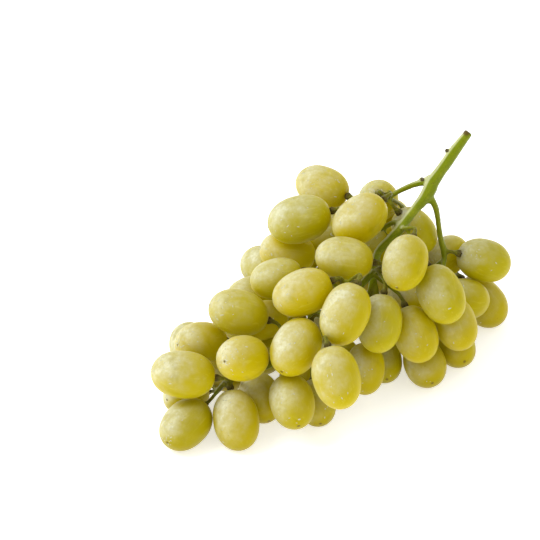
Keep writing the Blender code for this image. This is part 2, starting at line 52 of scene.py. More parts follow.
# The shape of the grapes
FRAME_SIDES = 12              # sides of a grape in the frame, which tell its two ends
SLENDERNESS = 1.36            # length over girth
FULLNESS = 2.25               # exponent of the outline: 2 is an ellipse, more is fuller
FRAME_DIMPLE = 1.1 * MM       # how far the frame draws in the stem end
DIMPLE = 0.55 * MM            # how far the real skin is drawn in around the stalk
DIMPLE_REACH = 2.3 * MM
SKIN_SIDES = 64
SKIN_RINGS = 44
LOBES = 0.16 * MM             # how far a grape is from truly round
LOBE_WIDTH = 0.8              # of a lobe, as a share of the half girth
LOBE_SHIFT = 7.3              # gives each grape another part of the noise
EGG = 0.018                   # how much fuller one end may be than the other

# What the skin's material reads from the shape
NEIGHBOUR_REACH = 34.0 * MM   # grapes whose middles lie further apart than this don't touch
CONTACT_REACH = 7.0 * MM      # skins this close to a neighbour have lost some bloom, which also paints the shade between grapes
CONTACT_FULL = 0.4 * MM       # and here all of it
LOW_SHADE_HEIGHTS = (42.0 * MM, 8.0 * MM)   # heights between which grapes get painted shade, duller olive towards the floor
LOW_SHADE_ON_TOP = 0.35           # the share of that painted shade that reaches a grape's top too
SHADED_UNDERSIDE = (0.45, -0.75)     # upward lean of the skin where the painted shade of the underside begins, and where it is full
BLOOM_AND_HIGHLIGHT_SIDE = (-0.65, -0.10, 0.75)    # the side of a grape on which its bloom and its painted highlight are thickest, towards the lamp
BLOOM_AND_HIGHLIGHT_FROM = -0.4             # where they begin, from -1 on the far side to 1
VEIN_STRETCH = 0.12           # how much slower the pale veins change along a grape than round it

# The grapes' material: sizes, then shares, then colours as shares of red, green and blue light.
# An edge is the two values between which a pattern or a mark rises from none to full.
RUBBED_SIZE = 7.0 * MM        # of the patches where the bloom is rubbed off
MOTTLE_SIZE = 1.6 * MM
VEIN_WIDTH = 1.1 * MM
SPOT_SIZE = 8.0 * MM          # of the soft olive spots
NECK = (4.6 * MM, 2.2 * MM)   # how far from the stalk the brownish neck begins, and where it is full
TIP_DOT = (1.4 * MM, 0.8 * MM)       # the same for the brown dot at the tip
SPECKS = (2.7 * MM, 0.24 * MM, 0.3)  # their spacing and half width, and the share that shows
PORE_SIZE = 0.55 * MM
SKIN_RELIEF = 0.010 * MM
BLOOM_AND_HIGHLIGHT_FALL = 2.8              # how fast the bloom and its painted highlight thin away from their own side
BLOOM_COVER = 0.46            # how much of the skin it hides where it is full
LIGHT_DEPTH = 10.0 * MM       # how far light goes into the flesh
BLOOM_SPREAD = 0.05           # how far the grapes differ in bloom
BLOOM_PATCHES = 0.90          # how strongly it thins and thickens in patches
BLOOM_MOTTLE = (0.30, 1.40)   # its least share, and what the fine mottle adds
RUB_RAGGED = 1.2              # how ragged the edge of a rubbed place is
RUB_EDGE = (0.0, 0.9)
RUB_SHARE = 0.95              # how much of the bloom a rubbed place has lost
VEIN_EDGE = (0.55, 0.72)
VEIN_SHARE = 0.30
SPOT_EDGE = (0.56, 0.80)
SPOT_SHARE = 0.50
SPOT_BLOOM = 0.4              # how much bloom a spot takes away
NECK_MOTTLE = (0.4, 0.8)
NECK_SHARE = 0.45
UNDERSIDE_SHADE_SHARE = 0.75
TIP_RAGGED = 0.8 * MM
TIP_SHARE = 0.8
SPECK_SHARE = 0.6
SKIN_ROUGHNESS = 0.38
BLOOM_ROUGHNESS = 0.14        # what a full bloom adds to it
FLESH_WARM = (0.478, 0.380, 0.0004)
FLESH_GREEN = (0.385, 0.332, 0.0008)
VEIN_PALE = (0.60, 0.54, 0.06)
SPOT_OLIVE = (0.29, 0.24, 0.001)
NECK_BROWN = (0.30, 0.22, 0.02)
PAINTED_UNDERSIDE_SHADE = (0.255, 0.205, 0.001)
MARK_BROWN = (0.10, 0.055, 0.012)
WAX_THIN = (0.78, 0.80, 0.61)
WAX_THICK = (0.89, 0.91, 0.76)
PAINTED_GLOW = (0.052, 0.044, 0.0)    # painted glow: colour given off that stands in for light coming through the juicy flesh
NO_GLOW = (0.0, 0.0, 0.0)

# The shape of the stalk
STALK_GRAIN = 0.4 * MM        # size of the faces that the stalk is made of
STALK_SMOOTHING = 6
EVEN_OUT = 0.5                # how far one step of smoothing goes
STEP_BACK = 0.52              # and how far the step after it goes back, to keep the size
FORK_FILLET = 0.9 * MM        # how far the forks are filled up
FATTEN_SMOOTHING = 2          # steps that even out the ways in which the stalk is fattened
SLIM_SMOOTHING = 3            # and those in which it is slimmed again
STALK_SWELL = 0.08 * MM       # how much fuller the stalk is than its frame
GIRTH_SMOOTHING = 12
GIRTH_LOOK = 0.05 * MM        # how far under the skin the look through the stalk begins
MOST_GIRTH = 6.0 * MM
THICK_STEM = (1.6 * MM, 3.2 * MM)    # girths between which a stem becomes ribbed and gets a painted highlight on a side
CORK_REACH = (5.4 * MM, 1.0 * MM)    # how far the brown cork reaches up a pedicel, and where it is full
OLIVE_REACH = (11.0 * MM, 3.0 * MM)  # the same for the duller green
SCARS = ((50.6, 93.0), (39.9, 80.3))    # dry stubs on the thick stems: across and up in the view, mm
SCAR_REACH = (1.5 * MM, 0.5 * MM)
CUT_REACH = (2.6 * MM, 1.2 * MM)
HIGHLIGHT_SIDE = (-0.8, 0.1, 0.6)        # the side on which the thick stems get a painted highlight, towards the lamp
HIGHLIGHT_FACING = (0.62, 0.98)          # how far the bark faces that side where the painted highlight begins, and where it is full
CORK_SLIMMING = 0.38 * MM     # how much slimmer the swollen ends have dried than in the frame
CORK_RELIEF = (0.24 * MM, 0.75 * MM, (0.0, 0.0, 0.0))    # height, width, and its part of the noise
BARK_RELIEF = (0.06 * MM, 1.6 * MM, (9.0, 0.0, 0.0))
RIB_RELIEF = (0.08 * MM, 2.4 * MM, (0.0, 5.0, 0.0))

# The stalk's material: sizes, shares and edges, then colours
BARK_PATCHES = 5.0 * MM
BARK_GRAIN = 0.7 * MM
BARK_WARTS = 0.95 * MM
BARK_GIRTHS = (1.4 * MM, 4.0 * MM)   # girths between which the green of a thin stem becomes a thick one's
BARK_SPECKS = (3.4 * MM, 0.42 * MM, 0.3)
BARK_BUMPS = 0.05 * MM
BARK_DEPTH = 0.7 * MM         # how far light goes into the bark
LIGHT_EDGE = (0.46, 0.70)
LIGHT_SHARE = 0.6
DARK_EDGE = (0.45, 0.7)
DARK_SHARE = 0.5
HIGHLIGHT_MOTTLE = (0.6, 0.8)
HIGHLIGHT_SHARE = 0.75
DULL_EDGE = (0.40, 0.62)
OLIVE_EDGE = (0.1, 0.9)
OLIVE_RAGGED = 0.6
OLIVE_SHARE = 0.85
WART_EDGE = (0.42, 0.60)
CORK_EDGE = (0.30, 0.80)
CORK_RAGGED = 0.9
BARK_SPECK_SHARE = 0.6
BARK_ROUGHNESS = 0.40
CORK_ROUGHNESS = 0.30         # what cork adds to it
THIN_GREEN = (0.200, 0.215, 0.001)
THICK_GREEN = (0.185, 0.235, 0.001)
LIGHT_GREEN = (0.290, 0.310, 0.010)
DARK_GREEN = (0.115, 0.145, 0.001)
PAINTED_HIGHLIGHT = (0.62, 0.64, 0.34)
OLIVE_DARK = (0.095, 0.080, 0.004)
OLIVE_LIGHT = (0.200, 0.190, 0.012)
CORK_DARK = (0.032, 0.020, 0.004)
CORK_LIGHT = (0.125, 0.095, 0.020)
CUT_DARK = (0.060, 0.034, 0.006)
CUT_LIGHT = (0.13, 0.085, 0.015)
BARK_BROWN = (0.11, 0.07, 0.015)

# The dew
DEW_DROPS = 900
DEW_SIDES = 8
DEW_RINGS = 5
DEW_SIZES = (0.15 * MM, 0.36 * MM)   # half a drop's width
DEW_LENGTHS = (1.3, 3.2)      # of a drop over its width
DEW_HEIGHT = 0.5              # of a drop over its width
DEW_SCATTER = 0.3 * MM        # how far a drop lies from the point of the skin that it is drawn for
DEW_SIDE = (-0.55, -0.45, 0.7)       # the side of the grapes on which it settled
DEW_LEAN = 0.25               # how far the skin faces that side, at least
DEW_CONTACT = 0.02            # how far a neighbour may have rubbed the skin there, from 0 to 1
DEW_HAZE = 2.0 * MM
DEW_ROUGHNESS = (0.10, 0.08)
# Painted glints: the drops' pale colour stands in for their highlights.
DEW_GLINT_YELLOW = (0.78, 0.76, 0.42)
DEW_GLINT_PALE = (0.94, 0.93, 0.70)

# The view
VIEW_ELEVATION = math.radians(38)
VIEW_POINT = Vector((-27.02, 14.55, 40.0)) * MM
VIEW_DISTANCE = 8.0
VIEW_WIDTH = 237.6 * MM       # what the picture takes in across
VIEW_CLIP = (0.1, 20.0)
SENSOR = 36.0

# The floor and the light
FLOOR_SIDE = 12.0
FLOOR_GAP = 0.05 * MM
FLOOR_GLOW = 0.55
FLOOR_CLOUDS = 0.8
FLOOR_DARK = (0.93, 0.93, 0.93)
FLOOR_LIGHT = (0.95, 0.95, 0.95)
WHITE = (1.0, 1.0, 1.0, 1.0)
SKY_STRENGTH = 0.77
KEY_SIDE = (-0.80, -0.15, 1.0)       # the side that the lamp shines from
KEY_DISTANCE = 1.4
KEY_SIZE = 0.7
KEY_POWER = 10.0


def smooth_step(low, high, values):
    """0 below low, 1 above high, and an easy slope between. low may be the greater one."""
    share = np.clip((values - low) / (high - low), 0.0, 1.0)
    return share * share * (3.0 - 2.0 * share)


def points_of(mesh):
    """The places of a mesh's points as rows of three numbers."""
    places = np.empty(len(mesh.vertices) * 3)
    mesh.vertices.foreach_get("co", places)
    return places.reshape(-1, 3)


def place_points(mesh, places):
    """Moves a mesh's points to these places."""
    mesh.vertices.foreach_set("co", np.ascontiguousarray(places).ravel())
    mesh.update()


def normals_of(mesh):
    """The outward ways of a mesh's points."""
    ways = np.empty(len(mesh.vertices) * 3)
    mesh.vertices.foreach_get("normal", ways)
    return ways.reshape(-1, 3)


def note_on(mesh, name, values):
    """Writes a number or a vector for each point to the mesh, where a material can read it."""
    values = np.ascontiguousarray(values, dtype=np.float32)
    if values.ndim == 1:
        mesh.attributes.new(name, "FLOAT", "POINT").data.foreach_set("value", values)
    else:
        mesh.attributes.new(name, "FLOAT_VECTOR", "POINT").data.foreach_set("vector", values.ravel())


def merged_copy(node):
    """A bmesh of a node of the frame, its loose triangles joined."""
    shape = bmesh.new()
    shape.from_mesh(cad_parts[node].data)
    bmesh.ops.remove_doubles(shape, verts=shape.verts[:], dist=SAME_POINT)
    return shape


def add_object(name, shown):
    """An object at the origin that shows a mesh, a lamp or a camera."""
    thing = bpy.data.objects.new(name, shown)
    bpy.context.scene.collection.objects.link(thing)
    return thing


class Number:
    """A number that a material works out for each spot. Arithmetic on it adds Math nodes."""

    def __init__(self, finish, socket):
        self.finish = finish
        self.socket = socket

    def math(self, operation, *values):
        node = self.finish.add("ShaderNodeMath", {"operation": operation}, dict(enumerate(values)))
        return Number(self.finish, node.outputs[0])

    def __add__(self, other):
        return self.math("ADD", self, other)

    def __radd__(self, other):
        return self.math("ADD", other, self)

    def __sub__(self, other):
        return self.math("SUBTRACT", self, other)

    def __rsub__(self, other):
        return self.math("SUBTRACT", other, self)

    def __mul__(self, other):
        return self.math("MULTIPLY", self, other)

    def __rmul__(self, other):
        return self.math("MULTIPLY", other, self)

    def most(self, other):
        return self.math("MAXIMUM", self, other)

    def spread(self, least, rest):
        """From least where it is 0 to least and rest where it is 1."""
        return least + rest * self

    def ragged(self, clouds, amount):
        """The same, moved up and down by clouds."""
        return self + amount * (clouds - 0.5)

    def power(self, exponent):
        return self.math("POWER", self, exponent)

    def below(self, limit):
        """1 where it is less than the limit, and 0 elsewhere."""
        return self.math("LESS_THAN", self, limit)

    def rise(self, low, high):
        """0 below low, 1 above high, with an easy slope. low may be the greater one."""
        node = self.finish.add(
            "ShaderNodeMapRange",
            {"interpolation_type": "SMOOTHSTEP"},
            {0: self, 1: min(low, high), 2: max(low, high)},
        )
        share = Number(self.finish, node.outputs[0])
        return share if low < high else 1.0 - share


class Finish:
    """A material, and the few calls that its nodes are made with."""

    def __init__(self, name):
        self.material = bpy.data.materials.new(name)
        self.material.use_nodes = True
        self.tree = self.material.node_tree
        self.tree.nodes.clear()

    def add(self, kind, settings=None, sockets=None):
        """A node of a kind, its settings made first, then the values or links of its sockets."""
        node = self.tree.nodes.new(kind)
        for name, value in (settings or {}).items():
            setattr(node, name, value)
        for name, value in (sockets or {}).items():
            value = getattr(value, "socket", value)
            if isinstance(value, bpy.types.NodeSocket):
                self.tree.links.new(value, node.inputs[name])
            else:
                node.inputs[name].default_value = value
        return node

    def noted(self, name):
        """A number that note_on wrote to the mesh."""
        node = self.add("ShaderNodeAttribute", {"attribute_name": name})
        return Number(self, node.outputs["Fac"])

    def place(self):
        """Where the spot is, in the object's own coordinates."""
        return self.add("ShaderNodeTexCoord").outputs["Object"]

    def clouds(self, place, size, detail=2.0, roughness=0.5, distortion=0.0):
        """Soft noise with blobs of about this size, from 0 to 1."""
        sockets = {
            "Vector": place,
            "Scale": 1.0 / size,
            "Detail": detail,
            "Roughness": roughness,
            "Distortion": distortion,
        }
        node = self.add("ShaderNodeTexNoise", None, sockets)
        return Number(self, node.outputs["Fac"])

    def specks(self, place, spacing, radius, share):
        """Small dots that lie about this far apart, of which only a share is shown."""
        cells = self.add("ShaderNodeTexVoronoi", None, {"Vector": place, "Scale": 1.0 / spacing})
        draw = self.add("ShaderNodeSeparateColor", None, {"Color": cells.outputs["Color"]})
        near = Number(self, cells.outputs["Distance"]).rise(radius / spacing, 0.5 * radius / spacing)
        shown = Number(self, draw.outputs[0]).below(share)
        return near * shown

    def blend(self, share, one, other):
        """A colour between two others."""
        sockets = {0: share, 6: rgba(one), 7: rgba(other)}
        return self.add("ShaderNodeMix", {"data_type": "RGBA"}, sockets).outputs[2]

    def relief(self, height, depth):
        """A bump whose full height is depth."""
        return self.add("ShaderNodeBump", None, {"Height": height, "Distance": depth}).outputs[0]

    def layer(self, **sockets):
        """A Principled surface with these sockets."""
        named = {name.replace("_", " "): value for name, value in sockets.items()}
        return self.add("ShaderNodeBsdfPrincipled", None, named).outputs[0]

    def over(self, share, under, top):
        """A surface whose top layer covers a share of what is under it."""
        return self.add("ShaderNodeMixShader", None, {0: share, 1: under, 2: top}).outputs[0]

    def surface(self, layer):
        """Ends the material in a layer."""
        self.add("ShaderNodeOutputMaterial", None, {"Surface": layer})
        return self.material


def rgba(colour):
    """A colour of three numbers with its alpha; a socket stays as it is."""
    return (*colour, 1.0) if isinstance(colour, tuple) else colour


def grape_skin():
    """Yellow skin over juicy flesh, under a thin pale bloom that is rubbed off in patches. The bloom is
    also a painted highlight on the side facing the lamp, and the skin has painted shade below and a painted
    glow.
    """
    skin = Finish("grape_skin")
    place = skin.place()
    tone = skin.noted("tone")
    from_stalk = skin.noted("from_stalk")
    from_tip = skin.noted("from_tip")
    touched = skin.noted("touched")
    powder = skin.noted("powder")
    above = skin.noted("above")
    under = skin.noted("under")
    meridian = skin.add("ShaderNodeAttribute", {"attribute_name": "meridian"}).outputs["Vector"]

    patches = skin.clouds(place, RUBBED_SIZE, distortion=0.3)
    mottle = skin.clouds(place, MOTTLE_SIZE, detail=4.0, roughness=0.62)
    # Partly real rubbing, partly painted shade: the skin between grapes loses its pale bloom.
    rubbed_and_shaded = touched.ragged(patches, RUB_RAGGED).rise(*RUB_EDGE)
    # The pale bloom lies thickest on the side the lamp shines from: partly real bloom, partly a painted
    # highlight.
    bloom = (above + BLOOM_SPREAD * powder).ragged(patches, BLOOM_PATCHES).most(0.0).power(BLOOM_AND_HIGHLIGHT_FALL)
    bloom = bloom * (1.0 - RUB_SHARE * rubbed_and_shaded) * mottle.spread(*BLOOM_MOTTLE)

    flesh = skin.blend(tone, FLESH_WARM, FLESH_GREEN)
    veins = skin.clouds(meridian, VEIN_WIDTH).rise(*VEIN_EDGE)
    flesh = skin.blend(VEIN_SHARE * veins, flesh, VEIN_PALE)
    spots = skin.clouds(place, SPOT_SIZE, roughness=0.6).rise(*SPOT_EDGE)
    flesh = skin.blend(SPOT_SHARE * spots, flesh, SPOT_OLIVE)
    neck = from_stalk.rise(*NECK) * mottle.spread(*NECK_MOTTLE)
    flesh = skin.blend(NECK_SHARE * neck, flesh, NECK_BROWN)
    # Painted shade: dull olive on the grapes that lie low and on the undersides.
    flesh = skin.blend(UNDERSIDE_SHADE_SHARE * under, flesh, PAINTED_UNDERSIDE_SHADE)
    tip_dot = (from_tip + TIP_RAGGED * mottle).rise(*TIP_DOT)
    marks = (TIP_SHARE * tip_dot).most(SPECK_SHARE * skin.specks(place, *SPECKS))
    flesh = skin.blend(marks, flesh, MARK_BROWN)

    pores = skin.clouds(place, PORE_SIZE, detail=3.0, roughness=0.6)
    relief = skin.relief(pores + 2.0 * mottle, SKIN_RELIEF)
    berry = skin.layer(
        Base_Color=flesh,
        Roughness=bloom.spread(SKIN_ROUGHNESS, BLOOM_ROUGHNESS),
        Specular_IOR_Level=0.25,
        Specular_Tint=(1.0, 0.92, 0.15, 1.0),
        Sheen_Weight=0.10,
        Sheen_Roughness=0.25,
        Sheen_Tint=(1.0, 0.97, 0.60, 1.0),
        # Painted glow, left off where the painted highlight and the painted underside shade lie.
        Emission_Color=skin.blend(bloom.most(under), PAINTED_GLOW, NO_GLOW),
        Emission_Strength=1.0,
        Normal=relief,
        Subsurface_Weight=1.0,
        Subsurface_Radius=(1.0, 0.85, 0.05),
        Subsurface_Scale=LIGHT_DEPTH,
        IOR=1.42,
    )
    # The pale wax layer: real bloom, and a painted highlight on the lit side.
    wax_and_highlight = skin.layer(
        Base_Color=skin.blend(mottle, WAX_THIN, WAX_THICK),
        Roughness=0.6,
        Normal=relief,
        Sheen_Weight=0.3,
        Sheen_Roughness=0.4,
    )
    cover = BLOOM_COVER * bloom * (1.0 - marks) * (1.0 - SPOT_BLOOM * spots)
    return skin.surface(skin.over(cover, berry, wax_and_highlight))


def stalk_bark():
    """Fresh green bark, duller on the pedicels, and corky brown at the swollen ends and the scars, with a
    painted highlight on the thick stems' side that faces the lamp.
    """
    bark = Finish("stalk_bark")
    place = bark.place()
    cork = bark.noted("cork")
    olive = bark.noted("olive")
    cut = bark.noted("cut")
    girth = bark.noted("girth")
    lit = bark.noted("lit")

    patches = bark.clouds(place, BARK_PATCHES, detail=3.0, roughness=0.6)
    grain = bark.clouds(place, BARK_GRAIN, detail=4.0, roughness=0.65)
    warts = bark.clouds(place, BARK_WARTS, detail=3.0, roughness=0.7)
    colour = bark.blend(girth.rise(*BARK_GIRTHS), THIN_GREEN, THICK_GREEN)
    colour = bark.blend(LIGHT_SHARE * patches.rise(*LIGHT_EDGE), colour, LIGHT_GREEN)
    colour = bark.blend(DARK_SHARE * grain.rise(*DARK_EDGE), colour, DARK_GREEN)
    # Painted highlight: pale on the side of the thick stems that faces the lamp.
    colour = bark.blend(HIGHLIGHT_SHARE * lit * patches.spread(*HIGHLIGHT_MOTTLE), colour, PAINTED_HIGHLIGHT)
    dull = bark.blend(grain.rise(*DULL_EDGE), OLIVE_DARK, OLIVE_LIGHT)
    dulled = olive.ragged(patches, OLIVE_RAGGED).rise(*OLIVE_EDGE)
    colour = bark.blend(OLIVE_SHARE * dulled, colour, dull)
    brown = bark.blend(warts.rise(*WART_EDGE), CORK_DARK, CORK_LIGHT)
    colour = bark.blend(cork.ragged(warts, CORK_RAGGED).rise(*CORK_EDGE), colour, brown)
    colour = bark.blend(cut, colour, bark.blend(grain, CUT_DARK, CUT_LIGHT))
    colour = bark.blend(BARK_SPECK_SHARE * bark.specks(place, *BARK_SPECKS), colour, BARK_BROWN)
    return bark.surface(bark.layer(
        Base_Color=colour,
        Roughness=cork.spread(BARK_ROUGHNESS, CORK_ROUGHNESS),
        Specular_IOR_Level=0.3,
        Specular_Tint=(1.0, 1.0, 0.4, 1.0),
        Normal=bark.relief(grain + 1.5 * patches, BARK_BUMPS),
        Subsurface_Weight=0.2,
        Subsurface_Radius=(0.8, 1.0, 0.2),
        Subsurface_Scale=BARK_DEPTH,
        Sheen_Weight=0.10,
        Sheen_Roughness=0.45,
    ))


def dew_water_painted_glints():
    """Water whose pale yellow colour paints its glints and the grapes seen through it, and a little uneven.
    """
    water = Finish("dew_water_painted_glints")
    haze = water.clouds(water.place(), DEW_HAZE)
    return water.surface(water.layer(
        Base_Color=water.blend(haze, DEW_GLINT_YELLOW, DEW_GLINT_PALE),
        Roughness=haze.spread(*DEW_ROUGHNESS),
        Transmission_Weight=0.35,
        IOR=1.333,
    ))


def pale_floor():
    """Matt white with the faintest unevenness, which gives off some light as a light table does."""
    paint = Finish("pale_floor")
    cloud = paint.clouds(paint.place(), FLOOR_CLOUDS)
    return paint.surface(paint.layer(
        Base_Color=paint.blend(cloud, FLOOR_DARK, FLOOR_LIGHT),
        Roughness=0.9,
        Emission_Color=WHITE,
        Emission_Strength=FLOOR_GLOW,
    ))


class Grape:
    """Where a grape of the frame lies: its middle, the way to its stem end, and its half sizes."""

    def __init__(self, name):
        self.name = name
        self.number = int(name.split("_")[1])
        shape = merged_copy(name)
        tip, stalk_end = [v for v in shape.verts if len(v.link_edges) == FRAME_SIDES]
        if self.is_drawn_in(tip, stalk_end.co):
            tip, stalk_end = stalk_end, tip
        way = stalk_end.co - tip.co
        self.half_length = (way.length + FRAME_DIMPLE) / 2
        self.half_girth = self.half_length / SLENDERNESS
        self.axis = way.normalized()
        self.middle = tip.co + self.axis * self.half_length
        self.tip = tip.co.copy()
        self.stalk_end = stalk_end.co.copy()
        shape.free()

    @staticmethod
    def is_drawn_in(end, other_end):
        """True where the skin round an end lies further out than the end itself."""
        outward = end.co - other_end
        round_it = [edge.other_vert(end).co for edge in end.link_edges]
        return sum((point - end.co).dot(outward) for point in round_it) > 0

    def gap_to(self, places):
        """How far places lie outside the skin, about, and less than 0 inside."""
        offset = places - np.array(self.middle)
        along = np.abs(offset @ np.array(self.axis))
        across = np.sqrt(np.maximum((offset ** 2).sum(1) - along ** 2, 0.0))
        reach = (along / self.half_length) ** FULLNESS + (across / self.half_girth) ** 2
        return np.sqrt((offset ** 2).sum(1)) * (1.0 - np.maximum(reach, NEAR_ZERO) ** (-0.5))


def unit_ball():
    """A round ball with its poles on Z, from which every skin is shaped."""
    shape = bmesh.new()
    bmesh.ops.create_uvsphere(shape, u_segments=SKIN_SIDES, v_segments=SKIN_RINGS, radius=1.0)
    mesh = bpy.data.meshes.new("ball")
    shape.to_mesh(mesh)
    shape.free()
    mesh.shade_smooth()
    return mesh


def unevenness(places, size, start):
    """Noise from about -1 to 1 at each place, with lobes of this size, read from a start."""
    start = Vector(start)
    return np.array([noise.noise(Vector(p) / size + start) for p in places])


def skin_of(grape, ball, grapes, draw):
    """The fine skin of a grape, with what its material needs to know of each point."""
    mesh = ball.copy()
    mesh.name = grape.name + "_skin"
    unit = points_of(ball)
    share = np.clip(unit[:, 2], -1.0, 1.0)
    round_of = np.sqrt(np.maximum(1.0 - share ** 2, NEAR_ZERO ** 2))
    girth = np.sqrt(np.maximum(1.0 - np.abs(share) ** FULLNESS, 0.0))
    girth = girth * (1.0 + draw.uniform(-EGG, EGG) * share)
    lobes = unevenness(unit, LOBE_WIDTH, (LOBE_SHIFT * grape.number, 0.0, 0.0)) * LOBES
    across = girth * grape.half_girth + lobes * round_of
    dimple = DIMPLE * np.exp(-(across / DIMPLE_REACH) ** 2) * (share > 0)
    along = share * grape.half_length - dimple

    side = grape.axis.orthogonal().normalized()
    other = grape.axis.cross(side)
    rim = across[:, None] * unit[:, :2] / round_of[:, None]
    places = (
        np.array(grape.middle)
        + along[:, None] * np.array(grape.axis)
        + rim[:, :1] * np.array(side)
        + rim[:, 1:] * np.array(other)
    )
    gap = places[:, 2].copy()
    for neighbour in grapes:
        if neighbour is grape or (neighbour.middle - grape.middle).length > NEIGHBOUR_REACH:
            continue
        gap = np.minimum(gap, neighbour.gap_to(places))
    places[:, 2] = np.maximum(places[:, 2], 0.0)
    place_points(mesh, places)

    note_on(mesh, "from_stalk", np.linalg.norm(places - np.array(grape.stalk_end), axis=1))
    note_on(mesh, "from_tip", np.linalg.norm(places - np.array(grape.tip), axis=1))
    note_on(mesh, "meridian", np.column_stack((rim, along * VEIN_STRETCH)) + draw.uniform(0.0, 1.0))
    note_on(mesh, "touched", smooth_step(CONTACT_REACH, CONTACT_FULL, gap))
    note_on(mesh, "tone", np.full(len(places), draw.random()))
    note_on(mesh, "powder", np.full(len(places), draw.uniform(-1.0, 1.0)))
    normals = normals_of(mesh)
    # under: painted shade, darker on the undersides and on grapes lying low.
    facing_down = smooth_step(*SHADED_UNDERSIDE, normals[:, 2])
    low = smooth_step(*LOW_SHADE_HEIGHTS, grape.middle.z)
    note_on(mesh, "under", low * (LOW_SHADE_ON_TOP + (1.0 - LOW_SHADE_ON_TOP) * facing_down))
    # above: how far the skin faces the lit side, for the bloom and its painted highlight.
    facing = normals @ np.array(Vector(BLOOM_AND_HIGHLIGHT_SIDE).normalized())
    note_on(mesh, "above", np.clip((facing - BLOOM_AND_HIGHLIGHT_FROM) / (1.0 - BLOOM_AND_HIGHLIGHT_FROM), 0.0, 1.0))
    return mesh


def dress_grapes(grapes, finish):
    """A fine skin for every grape of the frame."""
    draw = random.Random(SEED)
    ball = unit_ball()
    skins = []
    for grape in grapes:
        piece = add_object(grape.name + "_skin", skin_of(grape, ball, grapes, draw))
        piece.data.materials.append(finish)
        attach(piece, "root")
        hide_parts(grape.name)
        skins.append(piece)
    bpy.data.meshes.remove(ball)
    return skins


def dew_drop():
    """A flattened ball of water with a few dozen faces."""
    shape = bmesh.new()
    bmesh.ops.create_uvsphere(shape, u_segments=DEW_SIDES, v_segments=DEW_RINGS, radius=1.0)
    bmesh.ops.scale(shape, vec=(1.0, 1.0, DEW_HEIGHT), verts=shape.verts[:])
    mesh = bpy.data.meshes.new("drop")
    shape.to_mesh(mesh)
    shape.free()
    return mesh


def lay_dew(skins, finish):
    """Drops of dew on the free sides of the grapes that face up and to the left, all in one piece."""
    draw = random.Random(SEED + 1)
    way = Vector(DEW_SIDE).normalized()
    spots = []
    for skin in skins:
        near = skin.data.attributes["touched"].data
        for vertex in skin.data.vertices:
            facing = vertex.normal.dot(way)
            if facing > DEW_LEAN and near[vertex.index].value < DEW_CONTACT:
                spots.append((vertex.co, vertex.normal, facing))
    drop = dew_drop()
    shape = bmesh.new()
    while len(shape.verts) < DEW_DROPS * len(drop.vertices):
        place, out, facing = draw.choice(spots)
        if draw.random() > facing * facing:
            continue
        half = draw.triangular(*DEW_SIZES, DEW_SIZES[0])
        length = half * draw.uniform(*DEW_LENGTHS)
        size = Matrix.Diagonal((length, half, half))
        turn = Matrix.Rotation(draw.uniform(0, math.tau), 3, "Z")
        form = (out.to_track_quat("Z", "Y").to_matrix() @ turn @ size).to_4x4()
        shift = out.orthogonal() * draw.uniform(-DEW_SCATTER, DEW_SCATTER)
        start = len(shape.verts)
        shape.from_mesh(drop)
        shape.verts.ensure_lookup_table()
        matrix = Matrix.Translation(place + shift) @ form
        bmesh.ops.transform(shape, matrix=matrix, verts=shape.verts[start:])
    mesh = bpy.data.meshes.new("dew")
    shape.to_mesh(mesh)
    shape.free()
    mesh.shade_smooth()
    piece = add_object("dew", mesh)
    piece.data.materials.append(finish)
    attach(piece, "root")
    bpy.data.meshes.remove(drop)


def even_mesh(mesh):
    """A closed mesh of small even faces in the form of another, which it takes the place of."""
    form = add_object("form", mesh)
    remesh = form.modifiers.new("even", "REMESH")
    remesh.mode = "VOXEL"
    remesh.voxel_size = STALK_GRAIN
    bpy.context.view_layer.update()
    ready = form.evaluated_get(bpy.context.evaluated_depsgraph_get())
    even = bpy.data.meshes.new_from_object(ready)
    bpy.data.objects.remove(form)
    bpy.data.meshes.remove(mesh)
    return even


class Web:
    """Which points of a mesh are joined, to even out values from point to point."""

    def __init__(self, mesh):
        ends = np.empty(len(mesh.edges) * 2, dtype=np.int64)
        mesh.edges.foreach_get("vertices", ends)
        self.first = ends[0::2]
        self.second = ends[1::2]
        self.size = len(mesh.vertices)
        self.joined = np.bincount(ends, minlength=self.size)

    def mean_round(self, values):
        """The mean of each point's neighbours."""
        total = np.stack([
            np.bincount(self.first, column[self.second], self.size)
            + np.bincount(self.second, column[self.first], self.size)
            for column in values.T
        ], axis=1)
        return total / self.joined[:, None]

    def smoothed(self, values, steps, keep_size=True):
        """Values evened out. Where the size is kept, each step is followed by a step back."""
        for _ in range(steps):
            values = values + EVEN_OUT * (self.mean_round(values) - values)
            if keep_size:
                values = values - STEP_BACK * (self.mean_round(values) - values)
        return values


def girths(mesh):
    """How thick the stalk is under each point, by a look straight through it."""
    shape = bmesh.new()
    shape.from_mesh(mesh)
    tree = BVHTree.FromBMesh(shape)
    found = []
    for vertex in shape.verts:
        inward = -vertex.normal
        _, _, _, distance = tree.ray_cast(vertex.co + inward * GIRTH_LOOK, inward)
        found.append(min(distance or 0.0, MOST_GIRTH))
    shape.free()
    return np.array(found)


def smooth_normals(mesh, web, steps):
    """The outward ways of a mesh's points, evened out."""
    ways = web.smoothed(normals_of(mesh), steps, keep_size=False)
    return ways / np.linalg.norm(ways, axis=1)[:, None]


def bump(places, relief):
    """A height for each place: noise with the height, width and start that a relief gives."""
    height, width, start = relief
    return height * unevenness(places, width, start)


